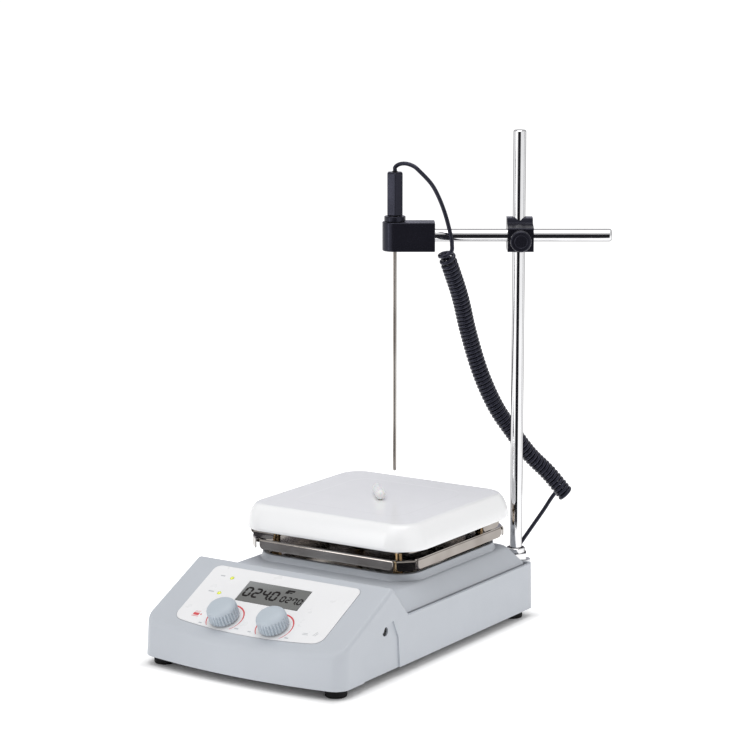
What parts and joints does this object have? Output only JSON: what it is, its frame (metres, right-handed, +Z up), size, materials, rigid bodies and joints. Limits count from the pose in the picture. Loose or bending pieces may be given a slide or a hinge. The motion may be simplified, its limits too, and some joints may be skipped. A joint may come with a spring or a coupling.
{
  "type": "magnetic stirrer",
  "caption": "Benchtop magnetic stirrer with a heated square plate, sloping control console, support stand and clamped temperature probe on a curly lead.",
  "frame": {"origin": "on the floor, under the centre of the box around everything but the probe's lead and plug", "axes": "+Z up, the control console's front towards -Y, the mains inlet towards +Y"},
  "size_m": [0.229, 0.3504, 0.3915],
  "materials": {
    "housing": "satin light blue-grey moulded plastic",
    "knob_plastic": "satin grey-blue moulded plastic",
    "overlay": "printed polyester membrane",
    "window": "clear display window over a grey liquid crystal",
    "led": "tinted light-emitting diode lens",
    "board": "glass-fibre circuit board with its components",
    "component": "moulded plastic component",
    "ceramic": "glossy white glazed ceramic coating on an aluminium plate",
    "mica": "mica and resistance ribbon",
    "insulation": "ceramic fibre felt",
    "stainless": "polished stainless sheet",
    "chrome": "chrome-plated steel",
    "steel": "zinc-plated steel",
    "brass": "brass",
    "magnet": "nickel-plated magnet",
    "aluminium": "die-cast aluminium",
    "rubber": "black rubber",
    "black_plastic": "fine-grained black plastic",
    "cable": "black elastomer cable jacket",
    "ptfe": "white fluoropolymer"
  },
  "bodies": {
    "root": {"main_housing": "housing", "top_cover": "housing", "bottom_plate": "steel", "rear_panel": "component", "console_overlay": "overlay", "lcd_window": "window", "lcd_module": "component", "led_heat": "led", "led_stir": "led", "encoder_body_heat": "component", "encoder_body_stir": "component", "control_board": "board", "power_board": "board", "motor_housing": "steel", "bearing_upper": "steel", "bearing_lower": "steel", "motor_bracket": "steel", "hotplate": "ceramic", "heater_element": "mica", "insulation_pad": "insulation", "plate_sensor": "steel", "upper_shield": "stainless", "lower_shield": "stainless", "post_0": "brass", "post_1": "brass", "post_2": "brass", "post_3": "brass", "foot_0": "rubber", "foot_1": "rubber", "foot_2": "rubber", "foot_3": "rubber", "iec_inlet": "black_plastic", "switch_frame": "black_plastic", "sensor_socket": "black_plastic", "rod_bracket": "aluminium", "lock_nut": "chrome", "cord_coil": "cable", "cord_tail": "cable", "sensor_plug": "black_plastic"},
    "rotor": {"motor_shaft": "steel", "magnet_carrier": "aluminium", "drive_magnet_0": "magnet", "drive_magnet_1": "magnet"},
    "spinner": {"stir_bar": "ptfe"},
    "heat_shaft": {"encoder_shaft_heat": "steel"},
    "heat_knob": {"knob_heat": "knob_plastic"},
    "stir_shaft": {"encoder_shaft_stir": "steel"},
    "stir_knob": {"knob_stir": "knob_plastic"},
    "rocker": {"power_rocker": "component"},
    "drawer": {"fuse_drawer": "black_plastic"},
    "limit_adjuster": {"safety_limit_screw": "component"},
    "upright": {"upright_rod": "chrome"},
    "boss": {"boss_head": "black_plastic"},
    "clamp_knob": {"boss_knob": "black_plastic"},
    "arm": {"cross_rod": "chrome"},
    "holder": {"probe_holder": "black_plastic"},
    "probe": {"probe_handle": "black_plastic", "probe_collar": "black_plastic", "probe_stem": "stainless", "cord_lead": "cable"}
  },
  "joints": [
    {"name": "rotor_spin", "type": "hinge", "parent": "root", "child": "rotor", "pos_m": [-0.0231, 0.03228, 0.079], "axis": [0, 0, 1], "continuous": true},
    {"name": "stir_bar_spin", "type": "hinge", "parent": "root", "child": "spinner", "pos_m": [-0.0231, 0.03228, 0.1088], "axis": [0, 0, 1], "continuous": true},
    {"name": "heat_push", "type": "slide", "parent": "root", "child": "heat_shaft", "axis": [0, 0.4472, -0.8944], "range_m": [0, 0.0008], "stiffness_N_per_m": 1500, "springref_m": -0.0006},
    {"name": "heat_turn", "type": "hinge", "parent": "heat_shaft", "child": "heat_knob", "pos_m": [-0.0471, -0.14487, 0.04889], "axis": [0, -0.4472, 0.8944], "continuous": true},
    {"name": "stir_push", "type": "slide", "parent": "root", "child": "stir_shaft", "axis": [0, 0.4472, -0.8944], "range_m": [0, 0.0008], "stiffness_N_per_m": 1500, "springref_m": -0.0006},
    {"name": "stir_turn", "type": "hinge", "parent": "stir_shaft", "child": "stir_knob", "pos_m": [-0.0018, -0.14487, 0.04889], "axis": [0, -0.4472, 0.8944], "continuous": true},
    {"name": "power_switch", "type": "hinge", "parent": "root", "child": "rocker", "pos_m": [-0.0291, 0.12233, 0.026], "axis": [1, 0, 0], "range_deg": [-12, 0]},
    {"name": "fuse_drawer_slide", "type": "slide", "parent": "root", "child": "drawer", "axis": [0, 1, 0], "range_m": [0, 0.018]},
    {"name": "limit_adjust", "type": "hinge", "parent": "root", "child": "limit_adjuster", "pos_m": [0.0609, -0.09627, 0.0386], "axis": [1, 0, 0], "range_deg": [0, 270]},
    {"name": "upright_swivel", "type": "hinge", "parent": "root", "child": "upright", "pos_m": [0.0455, 0.13133, 0.04], "axis": [0, 0, 1], "range_deg": [-35, 35], "deforming": ["cord_coil", "cord_lead"]},
    {"name": "boss_slide", "type": "slide", "parent": "upright", "child": "boss", "axis": [0, 0, 1], "range_m": [-0.003, 0.06], "deforming": ["cord_coil", "cord_lead"]},
    {"name": "clamp_knob_turn", "type": "hinge", "parent": "boss", "child": "clamp_knob", "pos_m": [0.05974, 0.10958, 0.3063], "axis": [0.5477, -0.8367, 0], "continuous": true},
    {"name": "arm_slide", "type": "slide", "parent": "boss", "child": "arm", "axis": [0.8367, 0.5477, 0], "range_m": [-0.03, 0.04], "deforming": ["cord_coil", "cord_lead"]},
    {"name": "holder_tilt", "type": "hinge", "parent": "arm", "child": "holder", "pos_m": [-0.01934, 0.07574, 0.3091], "axis": [0.8367, 0.5477, 0], "range_deg": [-20, 20], "deforming": ["cord_coil", "cord_lead"]},
    {"name": "probe_slide", "type": "slide", "parent": "holder", "child": "probe", "axis": [0, 0, 1], "range_m": [0, 0.06], "deforming": ["cord_coil", "cord_lead"]}
  ],
  "couplings": [
    {"joint": "stir_bar_spin", "follows": "rotor_spin", "ratio": 1}
  ]
}
